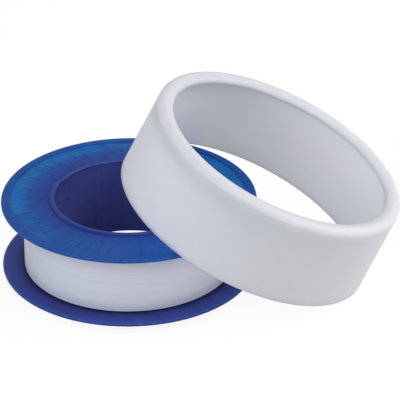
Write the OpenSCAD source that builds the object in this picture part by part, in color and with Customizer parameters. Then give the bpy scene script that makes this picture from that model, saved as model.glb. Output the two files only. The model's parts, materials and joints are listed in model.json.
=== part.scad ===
// Thread seal tape roll: a flanged reel wound with white tape, and the cover ring that leans on it.
// The origin is on the reel's axis, on the surface that the reel stands on. +Z runs up the axis,
// and the cover ring leans over the +X side.

/* [Tape] */
// Width of the tape
tape_w = 12.7; // [10:0.1:16]
// Thickness of the film
film_t = 0.08; // [0.06:0.01:0.15]
// Depth of the winding on the hub
winding_depth = 4.5; // [3:0.1:6]
// Length of the free end that peels off the winding
tape_end_l = 14; // [8:0.5:20]
// Where the free end leaves the winding, in degrees round the axis from +X
tape_end_angle = 110; // [95:1:140]

/* [Reel] */
// How far the two flanges stand out beyond the winding
flange_rise = 4.4; // [3.6:0.1:6]
// Thickness of a flange at its border
flange_t = 0.9; // [0.8:0.05:1.4]
// Width of the raised border round a flange
border_w = 1.8; // [1:0.1:2.5]
// Height of the border above the flange's web
border_h = 0.2; // [0.1:0.05:0.3]
// Diameter of the bore through the hub
bore_d = 30.5; // [26:0.1:36]
// Wall of the hub under the tape
hub_wall = 1.85; // [1.6:0.05:2.2]
// Wall of the hub's upper spigot
spigot_wall = 0.9; // [0.7:0.05:1.45]
// Wall of the hub's foot ring
foot_wall = 1.4; // [1:0.05:1.8]
// Height of the foot ring under the lower flange
foot_h = 1.2; // [0.8:0.1:2]
// Height of the spigot above the upper flange's border
collar_h = 0.3; // [0.2:0.05:0.8]

/* [Marks] */
// Groups of plain grip bars round the upper flange
mark_groups = 9; // [6:1:12]
// Bars in one group
marks_in_group = 5; // [3:1:6]
// Length of a bar along the radius
mark_l = 2.5; // [1.5:0.1:3]
// Width of a bar
mark_w = 0.6; // [0.3:0.1:1]
// Height of a bar above the web
mark_h = 0.08; // [0.05:0.01:0.2]
// Space between the bars and the border
mark_inset = 1.6; // [1:0.1:2]

/* [Cover ring] */
// Wall of the cover ring at its open end
cover_wall = 1; // [0.8:0.05:1.5]
// Width of the inward lip, from the ring's inner wall
lip_w = 2.5; // [1.5:0.05:4]
// Thickness of the lip
lip_t = 1; // [0.9:0.1:2]
// Slope of the lip down towards its edge, in degrees
lip_slope = 18; // [0:1:22]
// How much smaller the outer radius is at the lip end than at the open end
cover_taper = 0.3; // [0.1:0.05:0.4]
// Outer rounding of the lip end
cover_round = 1.5; // [0.4:0.05:2]
// Lean of the ring's axis from upright, in degrees
cover_lean = 24.9; // [22:0.1:28]

/* [Clearances] */
// Space between the tape's edge and a flange, on average over both sides
tape_side_gap = 0.4; // [0.1:0.05:0.8]
// Space between the hub, the core and the turn on it
winding_gap = 0.02; // [0.01:0.01:0.05]
// Space between the free end's tip and the start of the last turn
seam_gap = 0.6; // [0.5:0.1:1]
// Space between the free end's root and the turn that it peels from
peel_gap = 0.1; // [0.05:0.01:0.2]
// Overlap of the upper flange's hole on the spigot
press_overlap = 0.02; // [0.01:0.01:0.04]
// Space between the cover ring's inner wall and the flanges when it is on
cover_gap = 0.2; // [0.1:0.05:0.5]
// Space between the lip and the reel's upper end when the cover ring is on
cover_head_gap = 0.45; // [0.1:0.05:1]
// Space between the leaning ring and the flange's rim
lean_gap = 0.15; // [0.1:0.05:0.3]

/* [Hidden] */
$fn = 128;
arc_steps = 6;

// Roundings of the small edges
edge_r = 0.25;
rim_r = 0.4;
lip_edge_share = 0.82;
lip_under_share = 0.12;
lip_fillet_r = 1.4;

// The tape lies low between the flanges: the share of the space beside it that is below it
tape_low_share = 0.125;

// Radii of the reel, from its bore outwards
bore_r = bore_d / 2;
spigot_r = bore_r + spigot_wall;
foot_r = bore_r + foot_wall;
hub_r = bore_r + hub_wall;
winding_r = hub_r + winding_depth;
flange_r = winding_r + flange_rise;
border_r = flange_r - border_w;

// Heights of the reel
lower_web_z = foot_h + border_h;
lower_top_z = foot_h + flange_t;
tape_z = lower_top_z + 2 * tape_side_gap * tape_low_share;
shoulder_z = lower_top_z + tape_w + 2 * tape_side_gap;
upper_web_z = shoulder_z + flange_t - border_h;
upper_top_z = shoulder_z + flange_t;
reel_top_z = upper_top_z + collar_h;

// The winding: a core and one turn of film, whose free end is a flap
turn_r = winding_r - film_t;
core_r = turn_r - winding_gap;
degrees_per_mm = 180 / (PI * winding_r);
tape_end_span = tape_end_l * degrees_per_mm;
seam_span = seam_gap * degrees_per_mm;
peel_span = peel_gap * degrees_per_mm;
turn_start = tape_end_angle + tape_end_span + seam_span;
turn_span = 360 - tape_end_span - seam_span - peel_span;

// Grip bars
mark_r = border_r - mark_inset - mark_l;
group_step = 360 / mark_groups;
mark_step_share = 0.15;
mark_step = group_step * mark_step_share;

// The cover ring's radii
cover_in_r = flange_r + cover_gap;
cover_foot_r = cover_in_r + cover_wall;
cover_top_r = cover_foot_r - cover_taper;
cover_round_r = cover_top_r - cover_round;
lip_r = cover_in_r - lip_w;

// The lip's roundings: round above its edge, crisp below it, and no larger than its faces have room for
sharp_turn = 45 - lip_slope / 2;
blunt_turn = 45 + lip_slope / 2;
lip_top_l = (cover_top_r - lip_r) / cos(lip_slope) - cover_round / tan(sharp_turn);
lip_edge_r = min(lip_t * lip_edge_share, lip_top_l * tan(blunt_turn));
lip_under_r = lip_t * lip_under_share;
lip_under_l = lip_w / cos(lip_slope) - lip_under_r / tan(sharp_turn);
fillet_r = min(lip_fillet_r, lip_under_l * tan(sharp_turn));
lip_edge_centre_r = lip_r + lip_edge_r;
lip_under_centre_r = lip_r + lip_under_r;
fillet_centre_r = cover_in_r - fillet_r;

// The cover ring's heights: the centres of its roundings, from the reel's top upwards
lip_under_z = reel_top_z + cover_head_gap + lip_under_r;
lip_edge_z = lip_under_z + (lip_t - lip_under_r - lip_edge_r) / cos(lip_slope)
    + (lip_edge_centre_r - lip_under_centre_r) * tan(lip_slope);
cover_round_z = lip_edge_z + (lip_edge_r - cover_round) / cos(lip_slope)
    + (cover_round_r - lip_edge_centre_r) * tan(lip_slope);
fillet_z = lip_under_z - (lip_under_r + fillet_r) / cos(lip_slope)
    + (fillet_centre_r - lip_under_centre_r) * tan(lip_slope);

// The ring's lowest edge stands on the surface, and its open end hooks over the upper flange's rim
// at two points, one on each side
cover_z = (cover_foot_r - edge_r) * sin(cover_lean) + edge_r * (1 - cos(cover_lean));
hook_cos = (cover_z - upper_top_z) / (cover_in_r * sin(cover_lean));
hook_y = cover_in_r * sqrt(max(0, 1 - hook_cos * hook_cos));
hook_x = sqrt(max(0, pow(flange_r + lean_gap, 2) - hook_y * hook_y));
cover_x = hook_x - cover_in_r * hook_cos * cos(cover_lean);

// The last turn's two ends come nearest to each other at the seam
turn_ends = [for (a = [turn_start, turn_start - seam_span]) winding_r * [cos(a), sin(a)]];
echo(str("least gap of the last turn to itself: ", norm(turn_ends[1] - turn_ends[0]), " mm"));

// Points of a round corner about a centre, from one angle to another
function arc(centre, r, from, to) =
    [for (i = [0:arc_steps]) let (a = from + (to - from) * i / arc_steps) centre + r * [cos(a), sin(a)]];

// Rim of a flange whose lower face is at height z
function rim(z) = concat(
    arc([flange_r - rim_r, z + rim_r], rim_r, -90, 0),
    arc([flange_r - rim_r, z + flange_t - rim_r], rim_r, 0, 90)
);

module reel_base() {
    color("royalblue")
        rotate_extrude()
            polygon(concat(
                [[bore_r, 0]],
                arc([foot_r - edge_r, edge_r], edge_r, -90, 0),
                [[foot_r, lower_web_z], [border_r, lower_web_z], [border_r, foot_h]],
                rim(foot_h),
                [[hub_r, lower_top_z], [hub_r, shoulder_z], [spigot_r, shoulder_z]],
                arc([spigot_r - edge_r, reel_top_z - edge_r], edge_r, 0, 90),
                arc([bore_r + edge_r, reel_top_z - edge_r], edge_r, 90, 180)
            ));
}

module grip_bar() {
    translate([mark_r, -mark_w / 2, shoulder_z + flange_t / 2])
        cube([mark_l, mark_w, upper_web_z - shoulder_z - flange_t / 2 + mark_h]);
}

module upper_flange() {
    color("royalblue") {
        rotate_extrude()
            polygon(concat(
                [[spigot_r - press_overlap, shoulder_z]],
                rim(shoulder_z),
                [[border_r, upper_top_z], [border_r, upper_web_z], [spigot_r - press_overlap, upper_web_z]]
            ));
        for (group = [0:mark_groups - 1])
            for (bar = [0:marks_in_group - 1])
                rotate([0, 0, group * group_step + bar * mark_step])
                    grip_bar();
    }
}

module tape_core() {
    color("white")
        translate([0, 0, tape_z])
            rotate_extrude()
                translate([hub_r + winding_gap, 0])
                    square([core_r - hub_r - winding_gap, tape_w]);
}

// A stretch of the last turn of film, from one angle round the axis
module film(from, span) {
    translate([0, 0, tape_z])
        rotate([0, 0, from])
            rotate_extrude(angle = span)
                translate([turn_r, 0])
                    square([film_t, tape_w]);
}

module tape_outer_turn() {
    color("white")
        film(turn_start, turn_span);
}

module tape_end() {
    color("whitesmoke")
        film(tape_end_angle, tape_end_span);
}

module cover_ring() {
    color("gainsboro")
        translate([cover_x, 0, cover_z])
            rotate([0, cover_lean, 0])
                rotate_extrude()
                    polygon(concat(
                        arc([cover_in_r + edge_r, edge_r], edge_r, 180, 270),
                        arc([cover_foot_r - edge_r, edge_r], edge_r, -90, 0),
                        arc([cover_round_r, cover_round_z], cover_round, 0, 90 + lip_slope),
                        arc([lip_edge_centre_r, lip_edge_z], lip_edge_r, 90 + lip_slope, 180),
                        arc([lip_under_centre_r, lip_under_z], lip_under_r, 180, 270 + lip_slope),
                        arc([fillet_centre_r, fillet_z], fillet_r, 90 + lip_slope, 0)
                    ));
}

reel_base();
upper_flange();
tape_core();
tape_outer_turn();
tape_end();
cover_ring();
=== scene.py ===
# Thread seal tape roll: a blue flanged reel wound with white tape, and its white cover ring leaning on it.
import json
import math

import bpy
from mathutils import Matrix, Vector


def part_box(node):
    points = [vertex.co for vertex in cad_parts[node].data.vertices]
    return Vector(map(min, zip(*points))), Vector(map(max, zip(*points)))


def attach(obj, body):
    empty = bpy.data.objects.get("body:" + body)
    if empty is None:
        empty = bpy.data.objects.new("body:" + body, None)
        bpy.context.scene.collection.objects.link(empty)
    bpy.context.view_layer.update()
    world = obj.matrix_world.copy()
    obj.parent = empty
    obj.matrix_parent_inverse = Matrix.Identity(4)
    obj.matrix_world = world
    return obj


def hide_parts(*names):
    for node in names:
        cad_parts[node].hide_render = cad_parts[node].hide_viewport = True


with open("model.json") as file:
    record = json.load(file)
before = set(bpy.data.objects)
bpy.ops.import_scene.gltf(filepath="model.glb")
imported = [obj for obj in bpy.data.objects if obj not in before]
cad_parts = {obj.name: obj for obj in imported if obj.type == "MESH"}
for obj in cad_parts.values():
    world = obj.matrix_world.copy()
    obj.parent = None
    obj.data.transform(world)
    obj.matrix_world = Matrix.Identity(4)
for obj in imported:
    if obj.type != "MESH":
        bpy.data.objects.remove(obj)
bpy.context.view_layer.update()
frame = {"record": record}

# Sizes that the frame gives, in metres
MM = 0.001
mounts = {mount["name"]: mount for mount in frame["record"]["mounts"]}
flange_low, flange_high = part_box("upper_flange")
core_low, core_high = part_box("tape_core")
BORE_R = mounts["hub_bore"]["dims"]["r_mm"] * MM
FLANGE_R = flange_high.x
REEL_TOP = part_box("reel_base")[1].z
UPPER_LOW = flange_low.z
UPPER_TOP = flange_high.z
TAPE_LOW = core_low.z
TAPE_HIGH = core_high.z
WINDING_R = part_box("tape_outer_turn")[1].x
COVER_FOOT_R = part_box("cover_ring")[1].y

# Sizes of the reel
HUB_R = BORE_R + 1.85 * MM
SPIGOT_R = BORE_R + 0.9 * MM
FOOT_R = BORE_R + 1.4 * MM
FOOT_H = 1.2 * MM
FLANGE_T = UPPER_TOP - UPPER_LOW
BORDER_W = 1.8 * MM
BORDER_H = 0.2 * MM
PRESS_OVERLAP = 0.02 * MM
EDGE_R = 0.25 * MM
RIM_R = 0.4 * MM
STEP_R = 0.08 * MM
BORDER_R = FLANGE_R - BORDER_W
LOWER_TOP = FOOT_H + FLANGE_T
LOWER_WEB = FOOT_H + BORDER_H
UPPER_WEB = UPPER_TOP - BORDER_H

# Grip bars on the upper flange, with round ends and narrower tops
BAR_GROUPS = 9
BARS_IN_GROUP = 5
BAR_STEP = math.radians(6)
BAR_L = 2.5 * MM
BAR_W = 0.6 * MM
BAR_H = 0.08 * MM
BAR_INSET = 1.6 * MM
BAR_SINK = 0.1 * MM
BAR_BEVEL_H = BAR_H / 3
BAR_TOP_SHARE = 0.7
BAR_END_ROUNDING = 0.45
BAR_R = BORDER_R - BAR_INSET - BAR_L

# The wound tape
FILM_T = 0.07 * MM
FILM_PITCH = 0.08 * MM
EDGE_WANDER = 0.05 * MM
WANDER_WAVES_PER_M = 9.0
WINDING_GAP = 0.02 * MM
TAPE_END_ANGLE = math.radians(110)
TAPE_END_L = 14 * MM

# The cover ring and its lean
COVER_GAP = 0.2 * MM
COVER_HEAD_GAP = 0.45 * MM
COVER_TAPER = 0.3 * MM
COVER_ROUND = 1.5 * MM
LIP_W = 2.5 * MM
LIP_T = 1.0 * MM
LIP_SLOPE = math.radians(18)
LIP_EDGE_R = 0.82 * LIP_T
LIP_UNDER_R = 0.12 * LIP_T
LIP_FILLET_R = 1.4 * MM
LEAN_GAP = 0.15 * MM
COVER_LEAN = math.radians(24.9)
COVER_IN_R = FLANGE_R + COVER_GAP
COVER_TOP_R = COVER_FOOT_R - COVER_TAPER
LIP_R = COVER_IN_R - LIP_W

# Fineness of the meshes
TURN_SEGMENTS = 288
ROUND_STEPS = 7
SUPPORT = 0.06 * MM
PATH_R = 1 * MM
FILM_POINTS_PER_TURN = 128
FREE_END_FINENESS = 4
SHARP_ANGLE = math.radians(40)

# Inputs of every turned piece's tree
TURNED_SIZES = {"Segments": "Int", "Rounding steps": "Int", "Path radius": "Float", "Material": "Material"}
TURNED_VALUES = {"Segments": TURN_SEGMENTS, "Rounding steps": ROUND_STEPS, "Path radius": PATH_R}

# Finish of the blue plastic
# Pale blue of the rubbed wear on the rims, also used for a painted highlight along the bore's top edge
RUBBED_AND_HIGHLIGHT_BLUE = (0.1, 0.17, 0.5)
RUBBED_SHARE = 0.2
RUBBED_FROM = 0.4 * MM
RUBBED_FULLY = 0.1 * MM
FLOW_DEPTH = 0.15 * MM
SCUFF_DEPTH = 0.01 * MM
TURNING_PITCH = 0.5 * MM
TURNING_DEPTH = 0.004 * MM
BASE_STREAK = 0.06
FLANGE_STREAK = 0.1
# Share of the painted light that pales the upper flange's web towards the back
PAINTED_LIGHT_AT_BACK = 0.4

# Finish of the white film, whose streaks are long round the roll and short across it
STREAKS_ROUND = (1.5, 1.5, 1.5)
STREAKS_ACROSS = (0, 0, 1400)
STREAK_DEPTH = 0.02 * MM
# Painted shade along the tape's lower edge, tinted blue as a painted reflection of the lower flange
PAINTED_SHADE_SHARE = 0.6
PAINTED_SHADE_H = 2.2 * MM

# Finish of the milky plastic
DRAWN_DEPTH = 0.006 * MM
SKIN_DEPTH = 0.008 * MM
LIGHT_REACH = 4.5 * MM

# The camera at the photograph's viewing angle
LENS_MM = 266.93
SENSOR_MM = 36
VIEW_ELEVATION = math.radians(28.754)
VIEW_TURN = math.radians(2.753)
VIEW_DISTANCE = 607.011 * MM
VIEW_CENTRE = Vector((14.447, 0, 7.5)) * MM
VIEW_RAISE = 7.199 * MM

# The floor, the surroundings and the lamps
WHITE = (1, 1, 1, 1)
FLOOR_SIZE = 3.0
FLOOR_DROP = 0.05 * MM
FLOOR_WHITE = 0.55
FLOOR_SEEN_WHITE = 0.15
FLOOR_GLOW = 0.89
WORLD_LIGHT = 0.38
LAMP_SIZE = 0.45
LAMP_AIM = Vector((15, 0, 12)) * MM


def add_node(tree, kind, inputs=None, **settings):
    """Adds a node with its settings, and fills its sockets with values or with other nodes' outputs."""
    node = tree.nodes.new(kind)
    for name, value in settings.items():
        setattr(node, name, value)
    for name, value in (inputs or {}).items():
        if isinstance(value, bpy.types.NodeSocket):
            tree.links.new(value, node.inputs[name])
        else:
            node.inputs[name].default_value = value
    return node


def add_math(tree, operation, *values):
    """Adds one step of arithmetic."""
    return add_node(tree, "ShaderNodeMath", dict(enumerate(values)), operation=operation).outputs[0]


def start_tree(name, sizes):
    """Starts a geometry tree with named inputs, and returns it with its input sockets."""
    tree = bpy.data.node_groups.new(name, "GeometryNodeTree")
    tree.interface.new_socket("Geometry", in_out="INPUT", socket_type="NodeSocketGeometry")
    tree.interface.new_socket("Geometry", in_out="OUTPUT", socket_type="NodeSocketGeometry")
    for size, kind in sizes.items():
        tree.interface.new_socket(size, in_out="INPUT", socket_type="NodeSocket" + kind)
    return tree, tree.nodes.new("NodeGroupInput").outputs


def end_tree(tree, geometry, material):
    """Ends a geometry tree: real faces, shaded smooth up to sharp edges, with one material."""
    real = add_node(tree, "GeometryNodeRealizeInstances", {0: geometry})
    smooth = add_node(tree, "GeometryNodeSetShadeSmooth", {0: real.outputs[0], "Shade Smooth": True})
    angle = add_node(tree, "GeometryNodeInputMeshEdgeAngle")
    sharp = add_node(tree, "FunctionNodeCompare", {0: angle.outputs[0], 1: SHARP_ANGLE})
    creased = add_node(
        tree,
        "GeometryNodeSetShadeSmooth",
        {0: smooth.outputs[0], "Selection": sharp.outputs[0], "Shade Smooth": False},
        domain="EDGE",
    )
    finish = add_node(tree, "GeometryNodeSetMaterial", {0: creased.outputs[0], "Material": material})
    add_node(tree, "NodeGroupOutput", {0: finish.outputs[0]})


def run_tree(name, tree, mesh, values):
    """Runs a geometry tree on a mesh and returns the result as an object with a plain mesh."""
    piece = bpy.data.objects.new(name, mesh)
    bpy.context.scene.collection.objects.link(piece)
    modifier = piece.modifiers.new(tree.name, "NODES")
    modifier.node_group = tree
    for item in tree.interface.items_tree:
        if item.in_out == "INPUT" and item.name in values:
            modifier[item.identifier] = values[item.name]
    depsgraph = bpy.context.evaluated_depsgraph_get()
    baked = bpy.data.meshes.new_from_object(
        piece.evaluated_get(depsgraph), preserve_all_data_layers=True, depsgraph=depsgraph
    )
    piece.modifiers.clear()
    piece.data = baked
    baked.name = name
    bpy.data.meshes.remove(mesh)
    return piece


def outline_mesh(name, corners):
    """Makes a closed outline from corners (radius, height, rounding), up the bore and down the outside.

    Each corner has a support point on both sides, so that flat faces are shaded flat."""
    points = []
    roundings = []
    for before, corner, after in zip(corners[-1:] + corners[:-1], corners, corners[1:] + corners[:1]):
        place = Vector(corner[:2])
        to_before = (Vector(before[:2]) - place).normalized()
        to_after = (Vector(after[:2]) - place).normalized()
        reach = corner[2] / math.tan(to_before.angle(to_after) / 2) + SUPPORT
        points += [place + to_before * reach, place, place + to_after * reach]
        roundings += [0, corner[2], 0]
    mesh = bpy.data.meshes.new(name)
    vertices = [(r - PATH_R, -z, 0) for r, z in points]
    edges = [(i, (i + 1) % len(points)) for i in range(len(points))]
    mesh.from_pydata(vertices, edges, [])
    mesh.attributes.new("rounding", "FLOAT", "POINT").data.foreach_set("value", roundings)
    return mesh


def turned_geometry(tree, inputs):
    """Adds the nodes that round an outline's corners and turn it about the Z axis."""
    outline = add_node(tree, "GeometryNodeMeshToCurve", {0: inputs["Geometry"]})
    rounding = add_node(tree, "GeometryNodeInputNamedAttribute", {"Name": "rounding"})
    rounded = add_node(
        tree,
        "GeometryNodeFilletCurve",
        {0: outline.outputs[0], "Count": inputs["Rounding steps"], "Radius": rounding.outputs[0]},
        mode="POLY",
    )
    circle = add_node(
        tree,
        "GeometryNodeCurvePrimitiveCircle",
        {"Resolution": inputs["Segments"], "Radius": inputs["Path radius"]},
    )
    path = add_node(tree, "GeometryNodeSetCurveNormal", {0: circle.outputs[0]}, mode="Z_UP")
    turned = add_node(tree, "GeometryNodeCurveToMesh", {0: path.outputs[0], 1: rounded.outputs[0]})
    return turned.outputs[0]


def make_reel_base(material):
    """The hub with its foot ring, lower flange and upper spigot."""
    tree, inputs = start_tree("turned reel base", TURNED_SIZES)
    end_tree(tree, turned_geometry(tree, inputs), inputs["Material"])
    outline = outline_mesh("reel base outline", [
        (BORE_R, 0, STEP_R),
        (BORE_R, REEL_TOP, EDGE_R),
        (SPIGOT_R, REEL_TOP, EDGE_R),
        (SPIGOT_R, UPPER_LOW, STEP_R),
        (HUB_R, UPPER_LOW, STEP_R),
        (HUB_R, LOWER_TOP, STEP_R),
        (FLANGE_R, LOWER_TOP, RIM_R),
        (FLANGE_R, FOOT_H, RIM_R),
        (BORDER_R, FOOT_H, STEP_R),
        (BORDER_R, LOWER_WEB, STEP_R),
        (FOOT_R, LOWER_WEB, STEP_R),
        (FOOT_R, 0, EDGE_R),
    ])
    return run_tree("reel_base_moulding", tree, outline, {**TURNED_VALUES, "Material": material})


def grip_bar_geometry(tree):
    """Adds the nodes for one grip bar: a rounded bar with a narrower top, lying along +X."""
    layers = add_node(tree, "GeometryNodeJoinGeometry")
    bar_foot = UPPER_WEB - BAR_SINK
    bar_top = UPPER_WEB + BAR_H
    for height, width_share in ((bar_foot, 1), (bar_top - BAR_BEVEL_H, 1), (bar_top, BAR_TOP_SHARE)):
        width = BAR_W * width_share
        length = BAR_L - BAR_W + width
        bar = add_node(
            tree, "GeometryNodeCurvePrimitiveQuadrilateral", {"Width": length, "Height": width}
        )
        rounded = add_node(
            tree,
            "GeometryNodeFilletCurve",
            {0: bar.outputs[0], "Count": ROUND_STEPS, "Radius": width * BAR_END_ROUNDING},
            mode="POLY",
        )
        placed = add_node(
            tree,
            "GeometryNodeTransform",
            {0: rounded.outputs[0], "Translation": (BAR_R + BAR_L / 2, 0, height)},
        )
        tree.links.new(placed.outputs[0], layers.inputs[0])
    return add_node(tree, "GeometryNodeConvexHull", {0: layers.outputs[0]}).outputs[0]


def make_upper_flange(material):
    """The flange that is pressed on the spigot, with plain grip bars in groups round its face."""
    sizes = {**TURNED_SIZES, "Bar groups": "Int", "Bars in a group": "Int", "Bar step": "Float"}
    tree, inputs = start_tree("turned upper flange with grip bars", sizes)
    total = add_math(tree, "MULTIPLY", inputs["Bar groups"], inputs["Bars in a group"])
    points = add_node(tree, "GeometryNodePoints", {"Count": total, "Position": (0, 0, 0)})
    index = add_node(tree, "GeometryNodeInputIndex").outputs[0]
    group = add_math(tree, "FLOOR", add_math(tree, "DIVIDE", index, inputs["Bars in a group"]))
    group_step = add_math(tree, "DIVIDE", math.tau, inputs["Bar groups"])
    group_angle = add_math(tree, "MULTIPLY", group, group_step)
    bar = add_math(tree, "MODULO", index, inputs["Bars in a group"])
    angle = add_math(tree, "MULTIPLY_ADD", bar, inputs["Bar step"], group_angle)
    turn = add_node(tree, "ShaderNodeCombineXYZ", {"Z": angle})
    bars = add_node(
        tree,
        "GeometryNodeInstanceOnPoints",
        {"Points": points.outputs[0], "Instance": grip_bar_geometry(tree), "Rotation": turn.outputs[0]},
    )
    flange = add_node(tree, "GeometryNodeJoinGeometry", {0: turned_geometry(tree, inputs)})
    tree.links.new(bars.outputs[0], flange.inputs[0])
    end_tree(tree, flange.outputs[0], inputs["Material"])
    outline = outline_mesh("upper flange outline", [
        (SPIGOT_R - PRESS_OVERLAP, UPPER_LOW, 0),
        (SPIGOT_R - PRESS_OVERLAP, UPPER_WEB, 0),
        (BORDER_R, UPPER_WEB, STEP_R),
        (BORDER_R, UPPER_TOP, STEP_R),
        (FLANGE_R, UPPER_TOP, RIM_R),
        (FLANGE_R, UPPER_LOW, RIM_R),
    ])
    values = {"Bar groups": BAR_GROUPS, "Bars in a group": BARS_IN_GROUP, "Bar step": BAR_STEP}
    return run_tree("upper_flange_moulding", tree, outline, {**TURNED_VALUES, **values, "Material": material})


def film_tree():
    """A tree that winds a strip of film in a spiral about the Z axis, from one angle on."""
    tree, inputs = start_tree("wound film", {
        "Turns": "Float",
        "Start radius": "Float",
        "End radius": "Float",
        "Start angle": "Float",
        "Points per turn": "Int",
        "Film thickness": "Float",
        "Tape width": "Float",
        "Middle height": "Float",
        "Edge wander": "Float",
        "Material": "Material",
    })
    spiral = add_node(
        tree,
        "GeometryNodeCurveSpiral",
        {
            "Resolution": inputs["Points per turn"],
            "Rotations": inputs["Turns"],
            "Start Radius": inputs["Start radius"],
            "End Radius": inputs["End radius"],
            "Height": 0.0,
            "Reverse": True,
        },
    )
    along = add_node(tree, "GeometryNodeSplineParameter").outputs["Length"]
    wave = add_node(
        tree, "ShaderNodeTexNoise", {"W": along, "Scale": WANDER_WAVES_PER_M}, noise_dimensions="1D"
    )
    drift = add_math(
        tree, "MULTIPLY", add_math(tree, "SUBTRACT", wave.outputs[0], 0.5), inputs["Edge wander"]
    )
    height = add_math(tree, "ADD", drift, inputs["Middle height"])
    raise_by = add_node(tree, "ShaderNodeCombineXYZ", {"Z": height})
    raised = add_node(
        tree, "GeometryNodeSetPosition", {0: spiral.outputs[0], "Offset": raise_by.outputs[0]}
    )
    upright = add_node(tree, "GeometryNodeSetCurveNormal", {0: raised.outputs[0]}, mode="Z_UP")
    section = add_node(
        tree,
        "GeometryNodeCurvePrimitiveQuadrilateral",
        {"Width": inputs["Film thickness"], "Height": inputs["Tape width"]},
    )
    strip = add_node(
        tree,
        "GeometryNodeCurveToMesh",
        {0: upright.outputs[0], 1: section.outputs[0], "Fill Caps": True},
    )
    turn = add_node(tree, "ShaderNodeCombineXYZ", {"Z": inputs["Start angle"]})
    turned = add_node(tree, "GeometryNodeTransform", {0: strip.outputs[0], "Rotation": turn.outputs[0]})
    end_tree(tree, turned.outputs[0], inputs["Material"])
    return tree


def make_tape(material):
    """The winding on the hub, and the free end that peels off it, cut where its last turn ends."""
    tree = film_tree()
    end_turns = TAPE_END_L / (math.tau * WINDING_R)
    inner_r = HUB_R + WINDING_GAP + FILM_PITCH / 2
    outer_r = WINDING_R - FILM_PITCH / 2
    whole_turns = math.floor((outer_r - inner_r) / FILM_PITCH)
    turns = whole_turns - end_turns
    pitch = (outer_r - inner_r) / whole_turns
    root_r = inner_r + turns * pitch
    common = {
        "Film thickness": FILM_T,
        "Tape width": TAPE_HIGH - TAPE_LOW - EDGE_WANDER,
        "Middle height": (TAPE_LOW + TAPE_HIGH) / 2,
        "Material": material,
    }
    winding = run_tree("wound_tape", tree, bpy.data.meshes.new("tape start"), {
        **common,
        "Points per turn": FILM_POINTS_PER_TURN,
        "Turns": turns,
        "Start radius": inner_r,
        "End radius": root_r,
        "Start angle": TAPE_END_ANGLE - turns * math.tau,
        "Edge wander": EDGE_WANDER,
    })
    free_end = run_tree("tape_free_end", tree, bpy.data.meshes.new("tape end start"), {
        **common,
        "Points per turn": FILM_POINTS_PER_TURN * FREE_END_FINENESS,
        "Turns": end_turns,
        "Start radius": root_r,
        "End radius": outer_r,
        "Start angle": TAPE_END_ANGLE,
        "Edge wander": 0.0,
    })
    return winding, free_end


def cover_place():
    """Where the leaning ring stands: its foot on the surface, hooked on the upper flange's rim."""
    foot_r = COVER_FOOT_R - EDGE_R
    height = foot_r * math.sin(COVER_LEAN) + EDGE_R * (1 - math.cos(COVER_LEAN))
    hook_cos = (height - UPPER_TOP) / (COVER_IN_R * math.sin(COVER_LEAN))
    hook_y = COVER_IN_R * math.sqrt(1 - hook_cos ** 2)
    hook_x = math.sqrt((FLANGE_R + LEAN_GAP) ** 2 - hook_y ** 2)
    return Vector((hook_x - COVER_IN_R * hook_cos * math.cos(COVER_LEAN), 0, height))


def make_cover_ring(material):
    """The lipped cover ring, turned upright and then leaned on the reel."""
    tree, inputs = start_tree("turned cover ring", {**TURNED_SIZES, "Lean": "Float", "Place": "Vector"})
    place = add_node(tree, "GeometryNodeInputPosition")
    marked = add_node(
        tree,
        "GeometryNodeStoreNamedAttribute",
        {0: turned_geometry(tree, inputs), "Name": "upright_place", "Value": place.outputs[0]},
        data_type="FLOAT_VECTOR",
        domain="POINT",
    )
    lean = add_node(tree, "ShaderNodeCombineXYZ", {"Y": inputs["Lean"]})
    leaned = add_node(
        tree,
        "GeometryNodeTransform",
        {0: marked.outputs[0], "Translation": inputs["Place"], "Rotation": lean.outputs[0]},
    )
    end_tree(tree, leaned.outputs[0], inputs["Material"])
    rise = math.tan(LIP_SLOPE)
    lip_low = REEL_TOP + COVER_HEAD_GAP - LIP_UNDER_R * (rise + 1 / math.cos(LIP_SLOPE) - 1)
    lip_high = lip_low + LIP_T / math.cos(LIP_SLOPE)
    outline = outline_mesh("cover ring outline", [
        (COVER_IN_R, 0, EDGE_R),
        (COVER_IN_R, lip_low + LIP_W * rise, LIP_FILLET_R),
        (LIP_R, lip_low, LIP_UNDER_R),
        (LIP_R, lip_high, LIP_EDGE_R),
        (COVER_TOP_R, lip_high + (COVER_TOP_R - LIP_R) * rise, COVER_ROUND),
        (COVER_FOOT_R, 0, EDGE_R),
    ])
    values = {"Lean": COVER_LEAN, "Place": cover_place(), "Material": material}
    return run_tree("cover_ring_moulding", tree, outline, {**TURNED_VALUES, **values})


def start_material(name):
    """Starts a node material and returns it with its tree and its main shader."""
    material = bpy.data.materials.new(name)
    material.use_nodes = True
    return material, material.node_tree, material.node_tree.nodes["Principled BSDF"]


def object_place(tree):
    """Adds the node that gives a point's place on the object."""
    return add_node(tree, "ShaderNodeTexCoord").outputs["Object"]


def place_height(tree, place):
    """Adds the node that gives a point's height."""
    return add_node(tree, "ShaderNodeSeparateXYZ", {0: place}).outputs["Z"]


def add_vector(tree, operation, first, second):
    """Adds one step of arithmetic on vectors."""
    step = add_node(tree, "ShaderNodeVectorMath", {0: first, 1: second}, operation=operation)
    return step.outputs["Vector"]


def axis_direction(tree, place):
    """Adds the nodes that give a point's direction from the Z axis."""
    flat = add_vector(tree, "MULTIPLY", place, (1, 1, 0))
    return add_node(tree, "ShaderNodeVectorMath", {0: flat}, operation="NORMALIZE").outputs["Vector"]


def axis_distance(tree, place):
    """Adds the nodes that give a point's distance from the Z axis."""
    flat = add_vector(tree, "MULTIPLY", place, (1, 1, 0))
    return add_node(tree, "ShaderNodeVectorMath", {0: flat}, operation="LENGTH").outputs["Value"]


def add_noise(tree, place, scale, detail, roughness):
    """Adds a noise pattern, whose scale is in waves for each unit of the place."""
    noise = add_node(
        tree,
        "ShaderNodeTexNoise",
        {"Vector": place, "Scale": scale, "Detail": detail, "Roughness": roughness},
    )
    return noise.outputs["Fac"]


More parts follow.
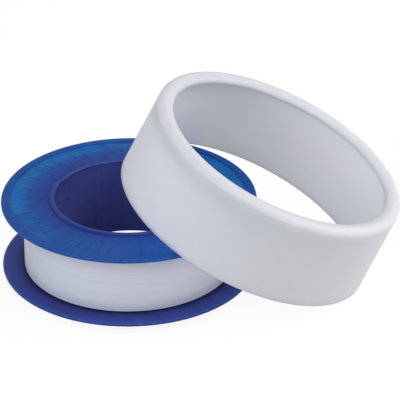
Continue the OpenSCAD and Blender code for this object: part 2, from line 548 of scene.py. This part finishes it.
def add_range(tree, value, low, high, from_low=0.3, from_high=0.7):
    """Adds a node that spreads a value from low to high. The limits it starts from suit a noise pattern."""
    spread = add_node(
        tree,
        "ShaderNodeMapRange",
        {"Value": value, "From Min": from_low, "From Max": from_high, "To Min": low, "To Max": high},
    )
    return spread.outputs["Result"]


def add_bump(tree, height, distance, normal=None):
    """Adds a bump of a height pattern, on top of an earlier bump if there is one."""
    inputs = {"Height": height, "Distance": distance, "Strength": 1.0}
    if normal:
        inputs["Normal"] = normal
    return add_node(tree, "ShaderNodeBump", inputs).outputs["Normal"]


def add_ramp(tree, value, stops):
    """Adds a colour ramp with stops (place, colour)."""
    ramp = add_node(tree, "ShaderNodeValToRGB", {"Fac": value})
    elements = ramp.color_ramp.elements
    while len(elements) < len(stops):
        elements.new(0.5)
    for element, (place, colour) in zip(elements, stops):
        element.position = place
        element.color = (*colour, 1)
    return ramp.outputs["Color"]


def add_mix(tree, share, first, second):
    """Adds a mix from a first colour, which is a pattern, to a second one."""
    colour = second if isinstance(second, bpy.types.NodeSocket) else (*second, 1)
    return add_node(tree, "ShaderNodeMix", {0: share, 6: first, 7: colour}, data_type="RGBA").outputs[2]


def colour_by_radius(tree, distance, stops):
    """Adds a ramp over the reel's radius, with stops (radius in mm, colour)."""
    outward = add_range(tree, distance, 0, 1, BORE_R, FLANGE_R)
    span = FLANGE_R - BORE_R
    return add_ramp(tree, outward, [((radius * MM - BORE_R) / span, colour) for radius, colour in stops])


def finish_blue(tree, shader, colour, streak):
    """Finishes a blue plastic: flow lines, clouds, a rubbed rim, fine turning lines and a soft gloss."""
    place = object_place(tree)
    distance = axis_distance(tree, place)
    flow = add_noise(tree, axis_direction(tree, place), scale=14, detail=3, roughness=0.6)
    clouds = add_noise(tree, place, scale=300, detail=3, roughness=0.55)
    scuffs = add_noise(tree, place, scale=900, detail=3, roughness=0.6)
    tone = add_math(
        tree, "MULTIPLY", add_range(tree, flow, 1 - streak, 1 + streak), add_range(tree, clouds, 0.9, 1.1)
    )
    toned = add_node(tree, "ShaderNodeVectorMath", {0: colour, "Scale": tone}, operation="SCALE").outputs[0]
    rim = add_range(tree, distance, 0, RUBBED_SHARE, FLANGE_R - RUBBED_FROM, FLANGE_R - RUBBED_FULLY)
    rubbed = add_math(tree, "MULTIPLY", rim, add_range(tree, scuffs, 0, 1, 0.4, 0.6))
    tree.links.new(add_mix(tree, rubbed, toned, RUBBED_AND_HIGHLIGHT_BLUE), shader.inputs["Base Color"])
    gloss = add_math(tree, "ADD", add_range(tree, clouds, 0.26, 0.36), add_range(tree, scuffs, 0, 0.08))
    tree.links.new(gloss, shader.inputs["Roughness"])
    turning = add_math(tree, "SINE", add_math(tree, "MULTIPLY", distance, math.tau / TURNING_PITCH))
    bump = add_bump(tree, flow, streak * FLOW_DEPTH)
    bump = add_bump(tree, add_math(tree, "MULTIPLY", turning, clouds), TURNING_DEPTH, bump)
    bump = add_bump(tree, scuffs, SCUFF_DEPTH, bump)
    tree.links.new(bump, shader.inputs["Normal"])
    shader.inputs["Specular IOR Level"].default_value = 0.05


def base_blue():
    """Deep blue plastic of the hub and lower flange: painted shade beside the tape, bluer borders, a painted
    highlight on the bore's top edge.
    """
    material, tree, shader = start_material("blue_reel_base_plastic")
    place = object_place(tree)
    height = place_height(tree, place)
    distance = axis_distance(tree, place)
    colour = colour_by_radius(tree, distance, [
        (15.3, (0.05, 0.062, 0.255)),
        (17.5, (0.042, 0.058, 0.275)),
        (26.0, (0.04, 0.06, 0.285)),
    ])
    # Painted shade on the lower flange's upper face beside the tape, fading outward to a bluer rim
    lower_face_painted_shade = colour_by_radius(tree, distance, [
        (21.8, (0.009, 0.013, 0.065)),
        (22.3, (0.019, 0.028, 0.13)),
        (23.0, (0.032, 0.046, 0.215)),
        (23.7, (0.039, 0.056, 0.262)),
        (24.5, (0.041, 0.061, 0.29)),
        (25.2, (0.04, 0.068, 0.325)),
        (25.7, (0.039, 0.079, 0.365)),
        (26.0, (0.042, 0.082, 0.35)),
    ])
    upper_side = add_range(tree, height, 0, 1, FOOT_H + 0.2 * FLANGE_T, FOOT_H + 0.6 * FLANGE_T)
    past_winding = add_range(tree, distance, 0, 1, WINDING_R - 0.4 * MM, WINDING_R - 0.2 * MM)
    colour = add_mix(tree, add_math(tree, "MULTIPLY", upper_side, past_winding), colour, lower_face_painted_shade)
    near_top = add_range(tree, height, 0, 1, REEL_TOP - 0.9 * MM, REEL_TOP - 0.6 * MM)
    colour = add_mix(tree, near_top, colour, (0.045, 0.06, 0.27))
    on_top = add_range(tree, height, 0, 1, REEL_TOP - 0.1 * MM, REEL_TOP - 0.02 * MM)
    colour = add_mix(tree, on_top, colour, (0.03, 0.072, 0.34))
    # Painted highlight along the bore's rounded top edge
    bore_edge_highlight = add_range(tree, distance, 0.6, 0, BORE_R + 0.1 * MM, BORE_R + 0.22 * MM)
    rounded = add_range(tree, height, 0, 1, REEL_TOP - 0.3 * MM, REEL_TOP - 0.15 * MM)
    colour = add_mix(tree, add_math(tree, "MULTIPLY", bore_edge_highlight, rounded), colour, RUBBED_AND_HIGHLIGHT_BLUE)
    finish_blue(tree, shader, colour, BASE_STREAK)
    return material


def flange_blue():
    """Brighter blue plastic of the upper flange, with painted light that makes its thin web pale and mottled
    at the sides and the back.
    """
    material, tree, shader = start_material("blue_flange_plastic")
    place = object_place(tree)
    direction = axis_direction(tree, place)
    distance = axis_distance(tree, place)
    # Both ramps are brighter past the winding, and the pale one is mixed in towards the sides and the back:
    # this is painted light
    deep = colour_by_radius(tree, distance, [
        (16.2, (0.026, 0.067, 0.345)),
        (18.5, (0.016, 0.087, 0.4)),
        (20.5, (0.02, 0.106, 0.43)),
        (24.0, (0.018, 0.106, 0.43)),
        (24.4, (0.015, 0.1, 0.41)),
        (26.0, (0.015, 0.1, 0.41)),
    ])
    pale = colour_by_radius(tree, distance, [
        (16.2, (0.028, 0.05, 0.31)),
        (18.5, (0.018, 0.07, 0.36)),
        (20.3, (0.014, 0.1, 0.41)),
        (21.8, (0.008, 0.17, 0.52)),
        (24.0, (0.008, 0.175, 0.535)),
        (24.4, (0.013, 0.094, 0.39)),
        (26.0, (0.013, 0.094, 0.39)),
    ])
    parts = add_node(tree, "ShaderNodeSeparateXYZ", {0: direction}).outputs
    sideways = add_math(tree, "ABSOLUTE", parts["X"])
    side = add_math(tree, "MULTIPLY_ADD", parts["Y"], PAINTED_LIGHT_AT_BACK, sideways)
    drift = add_range(tree, add_noise(tree, direction, scale=2.5, detail=2, roughness=0.5), -0.2, 0.2)
    mottle = add_range(tree, add_noise(tree, place, scale=420, detail=2, roughness=0.5), -0.5, 0.5)
    wander = add_math(tree, "ADD", drift, mottle)
    painted_light_share = add_range(tree, add_math(tree, "ADD", side, wander), 0, 1, 0.4, 1)
    finish_blue(tree, shader, add_mix(tree, painted_light_share, deep, pale), FLANGE_STREAK)
    return material


def white_film():
    """Soft white film of the tape, drawn out along its length, with painted shade along its lower edge."""
    material, tree, shader = start_material("white_tape_film")
    place = object_place(tree)
    along = add_vector(tree, "MULTIPLY", axis_direction(tree, place), STREAKS_ROUND)
    across = add_vector(tree, "MULTIPLY", place, STREAKS_ACROSS)
    streaks = add_noise(tree, add_vector(tree, "ADD", along, across), scale=1, detail=4, roughness=0.6)
    clouds = add_noise(tree, place, scale=120, detail=2, roughness=0.5)
    tone = add_range(tree, add_math(tree, "ADD", streaks, clouds), 0, 1, 0.7, 1.3)
    colour = add_ramp(tree, tone, [
        (0.0, (0.755, 0.785, 0.88)),
        (1.0, (0.815, 0.84, 0.925)),
    ])
    height = place_height(tree, place)
    # Painted shade along the lower edge, tinted blue as a painted reflection of the lower flange
    painted_edge_shade = add_range(tree, height, PAINTED_SHADE_SHARE, 0, TAPE_LOW, TAPE_LOW + PAINTED_SHADE_H)
    tree.links.new(add_mix(tree, painted_edge_shade, colour, (0.47, 0.51, 0.68)), shader.inputs["Base Color"])
    tree.links.new(add_range(tree, streaks, 0.48, 0.62), shader.inputs["Roughness"])
    tree.links.new(add_bump(tree, streaks, STREAK_DEPTH), shader.inputs["Normal"])
    shader.inputs["Specular IOR Level"].default_value = 0.3
    return material


def milky_plastic():
    """Satin milky white plastic of the cover ring, which lets some light through."""
    material, tree, shader = start_material("milky_cover_plastic")
    place = add_node(tree, "ShaderNodeAttribute", attribute_name="upright_place").outputs["Vector"]
    clouds = add_noise(tree, place, scale=90, detail=3, roughness=0.5)
    skin = add_noise(tree, place, scale=1500, detail=2, roughness=0.5)
    drawn = add_noise(tree, axis_direction(tree, place), scale=45, detail=3, roughness=0.6)
    colour = add_ramp(tree, add_range(tree, clouds, 0, 1), [
        (0.0, (0.785, 0.81, 0.89)),
        (1.0, (0.815, 0.84, 0.92)),
    ])
    tree.links.new(colour, shader.inputs["Base Color"])
    gloss = add_math(tree, "ADD", add_range(tree, clouds, 0.36, 0.44), add_range(tree, drawn, 0, 0.06))
    tree.links.new(gloss, shader.inputs["Roughness"])
    bump = add_bump(tree, drawn, DRAWN_DEPTH)
    tree.links.new(add_bump(tree, skin, SKIN_DEPTH, bump), shader.inputs["Normal"])
    shader.inputs["Specular IOR Level"].default_value = 0.15
    shader.inputs["Subsurface Weight"].default_value = 1.0
    shader.inputs["Subsurface Radius"].default_value = (1.0, 1.0, 1.0)
    shader.inputs["Subsurface Scale"].default_value = LIGHT_REACH
    return material


def make_camera():
    """A camera at the photograph's viewing angle, aimed between the reel and the ring."""
    right = Vector((math.cos(VIEW_TURN), math.sin(VIEW_TURN), 0))
    level = Vector((-math.sin(VIEW_TURN), math.cos(VIEW_TURN), 0))
    forward = level * math.cos(VIEW_ELEVATION) - Vector((0, 0, math.sin(VIEW_ELEVATION)))
    up = right.cross(forward)
    centre = Matrix.Rotation(VIEW_TURN, 3, "Z") @ VIEW_CENTRE
    place = centre + up * VIEW_RAISE - forward * VIEW_DISTANCE
    data = bpy.data.cameras.new("view camera")
    data.lens = LENS_MM
    data.sensor_width = SENSOR_MM
    camera = bpy.data.objects.new("view camera", data)
    camera.matrix_world = Matrix.Translation(place) @ Matrix((right, up, -forward)).transposed().to_4x4()
    bpy.context.scene.collection.objects.link(camera)
    bpy.context.scene.camera = camera


def seen_directly(tree):
    """Adds the nodes that tell rays which show the background from rays which light the object."""
    path = add_node(tree, "ShaderNodeLightPath").outputs
    mirrored = add_math(tree, "MAXIMUM", path["Is Camera Ray"], path["Is Glossy Ray"])
    return add_math(tree, "MAXIMUM", mirrored, path["Is Transmission Ray"])


def make_floor():
    """A plain white floor that keeps a light shadow."""
    half = FLOOR_SIZE / 2
    mesh = bpy.data.meshes.new("floor")
    corners = [(-half, -half), (half, -half), (half, half), (-half, half)]
    mesh.from_pydata([(x, y, -FLOOR_DROP) for x, y in corners], [], [(0, 1, 2, 3)])
    floor = bpy.data.objects.new("floor", mesh)
    bpy.context.scene.collection.objects.link(floor)
    material = bpy.data.materials.new("white_floor")
    material.use_nodes = True
    tree = material.node_tree
    tree.nodes.clear()
    seen = seen_directly(tree)
    white = add_range(tree, seen, FLOOR_WHITE, FLOOR_SEEN_WHITE, 0, 1)
    matt = add_node(tree, "ShaderNodeBsdfDiffuse", {"Color": white})
    glow = add_node(tree, "ShaderNodeEmission", {"Strength": add_math(tree, "MULTIPLY", seen, FLOOR_GLOW)})
    both = add_node(tree, "ShaderNodeAddShader", {0: matt.outputs[0], 1: glow.outputs[0]})
    add_node(tree, "ShaderNodeOutputMaterial", {"Surface": both.outputs[0]})
    mesh.materials.append(material)


def make_world():
    """White surroundings: white where they are seen, softer where they light the object."""
    world = bpy.data.worlds.new("white surroundings")
    bpy.context.scene.world = world
    world.use_nodes = True
    tree = world.node_tree
    tree.nodes.clear()
    lighting = add_node(tree, "ShaderNodeBackground", {"Color": WHITE, "Strength": WORLD_LIGHT})
    seen = add_node(tree, "ShaderNodeBackground", {"Color": WHITE, "Strength": 1})
    choice = add_node(
        tree, "ShaderNodeMixShader", {0: seen_directly(tree), 1: lighting.outputs[0], 2: seen.outputs[0]}
    )
    add_node(tree, "ShaderNodeOutputWorld", {"Surface": choice.outputs[0]})


def make_lamp(name, place, power, colour):
    """A square soft lamp, aimed at the object's middle."""
    data = bpy.data.lights.new(name, "AREA")
    data.size = LAMP_SIZE
    data.energy = power
    data.color = colour
    lamp = bpy.data.objects.new(name, data)
    facing = (LAMP_AIM - Vector(place)).to_track_quat("-Z", "Y")
    lamp.matrix_world = Matrix.Translation(place) @ facing.to_matrix().to_4x4()
    bpy.context.scene.collection.objects.link(lamp)


make_camera()
make_world()
make_floor()
make_lamp("left softbox", (-0.419, -0.434, 0.442), 1.45, (0.85, 0.92, 1))
make_lamp("front softbox", (0.015, -0.65, 0.38), 1.2, (1, 0.97, 0.95))
make_lamp("right softbox", (0.7, 0.03, 0.317), 3.05, (1, 0.96, 0.95))

reel_base = make_reel_base(base_blue())
upper_flange = make_upper_flange(flange_blue())
winding, free_end = make_tape(white_film())
cover_ring = make_cover_ring(milky_plastic())

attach(reel_base, "reel")
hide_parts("reel_base")
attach(upper_flange, "reel")
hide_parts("upper_flange")
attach(winding, "reel")
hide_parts("tape_core", "tape_outer_turn")
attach(free_end, "tape_end")
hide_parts("tape_end")
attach(cover_ring, "cover_ring")
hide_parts("cover_ring")

bpy.context.scene.view_settings.view_transform = "Standard"
